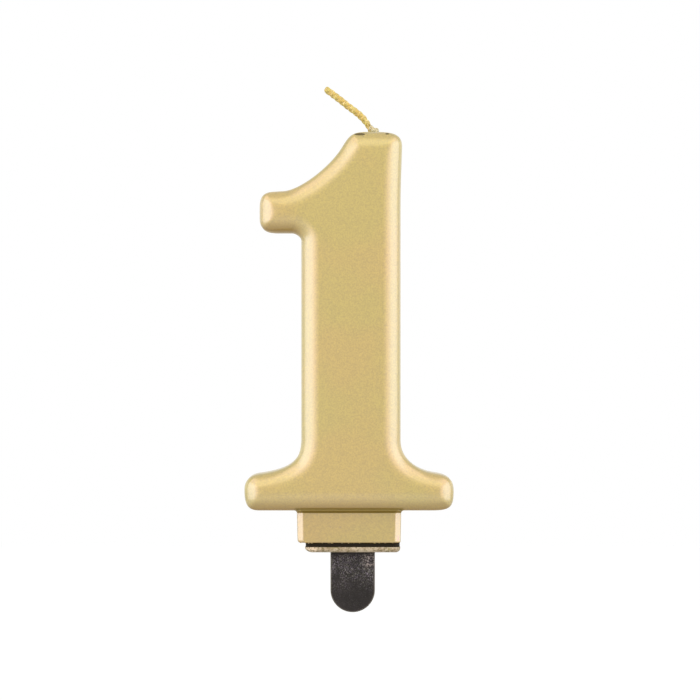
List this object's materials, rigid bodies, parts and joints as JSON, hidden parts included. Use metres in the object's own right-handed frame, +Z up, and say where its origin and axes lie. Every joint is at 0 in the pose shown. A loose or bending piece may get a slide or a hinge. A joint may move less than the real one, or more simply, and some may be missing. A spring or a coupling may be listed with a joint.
{
  "type": "number candle",
  "caption": "Metallic gold birthday candle in the shape of the digit one, with a bent wick and a black plastic pick that holds it in a cake.",
  "frame": {"origin": "centre of the flange's underside, on the pick's axis, where it meets the cake's surface", "axes": "+Z up along the pick towards the digit and the wick, +X to the right of the digit, +Y to its back; the digit's front faces -Y"},
  "size_m": [0.0398, 0.014, 0.1],
  "materials": {
    "black_plastic": "matt black moulded plastic, dusty, with worn gold overspray on the flange's lower rim",
    "gold_lacquered_wax": "paraffin wax under a satin metallic gold lacquer with a fine grain, more coppery on the foot",
    "wick_braid": "braided cotton, waxed and sprayed gold",
    "clear_wax": "translucent clear wax, glossy"
  },
  "bodies": {
    "pick": {"cake_pick": "black_plastic"},
    "candle": {"wax_body": "gold_lacquered_wax", "wick_core": "wick_braid", "wick_seal": "clear_wax"},
    "wick": {"wick_tip": "wick_braid"}
  },
  "joints": [
    {"name": "candle_lift", "type": "slide", "parent": "pick", "child": "candle", "axis": [0, 0, 1], "range_m": [0, 0.012]},
    {"name": "wick_bend", "type": "hinge", "parent": "candle", "child": "wick", "pos_m": [0.00335, 0, 0.08085], "axis": [0, 1, 0], "range_deg": [-25, 50]}
  ]
}
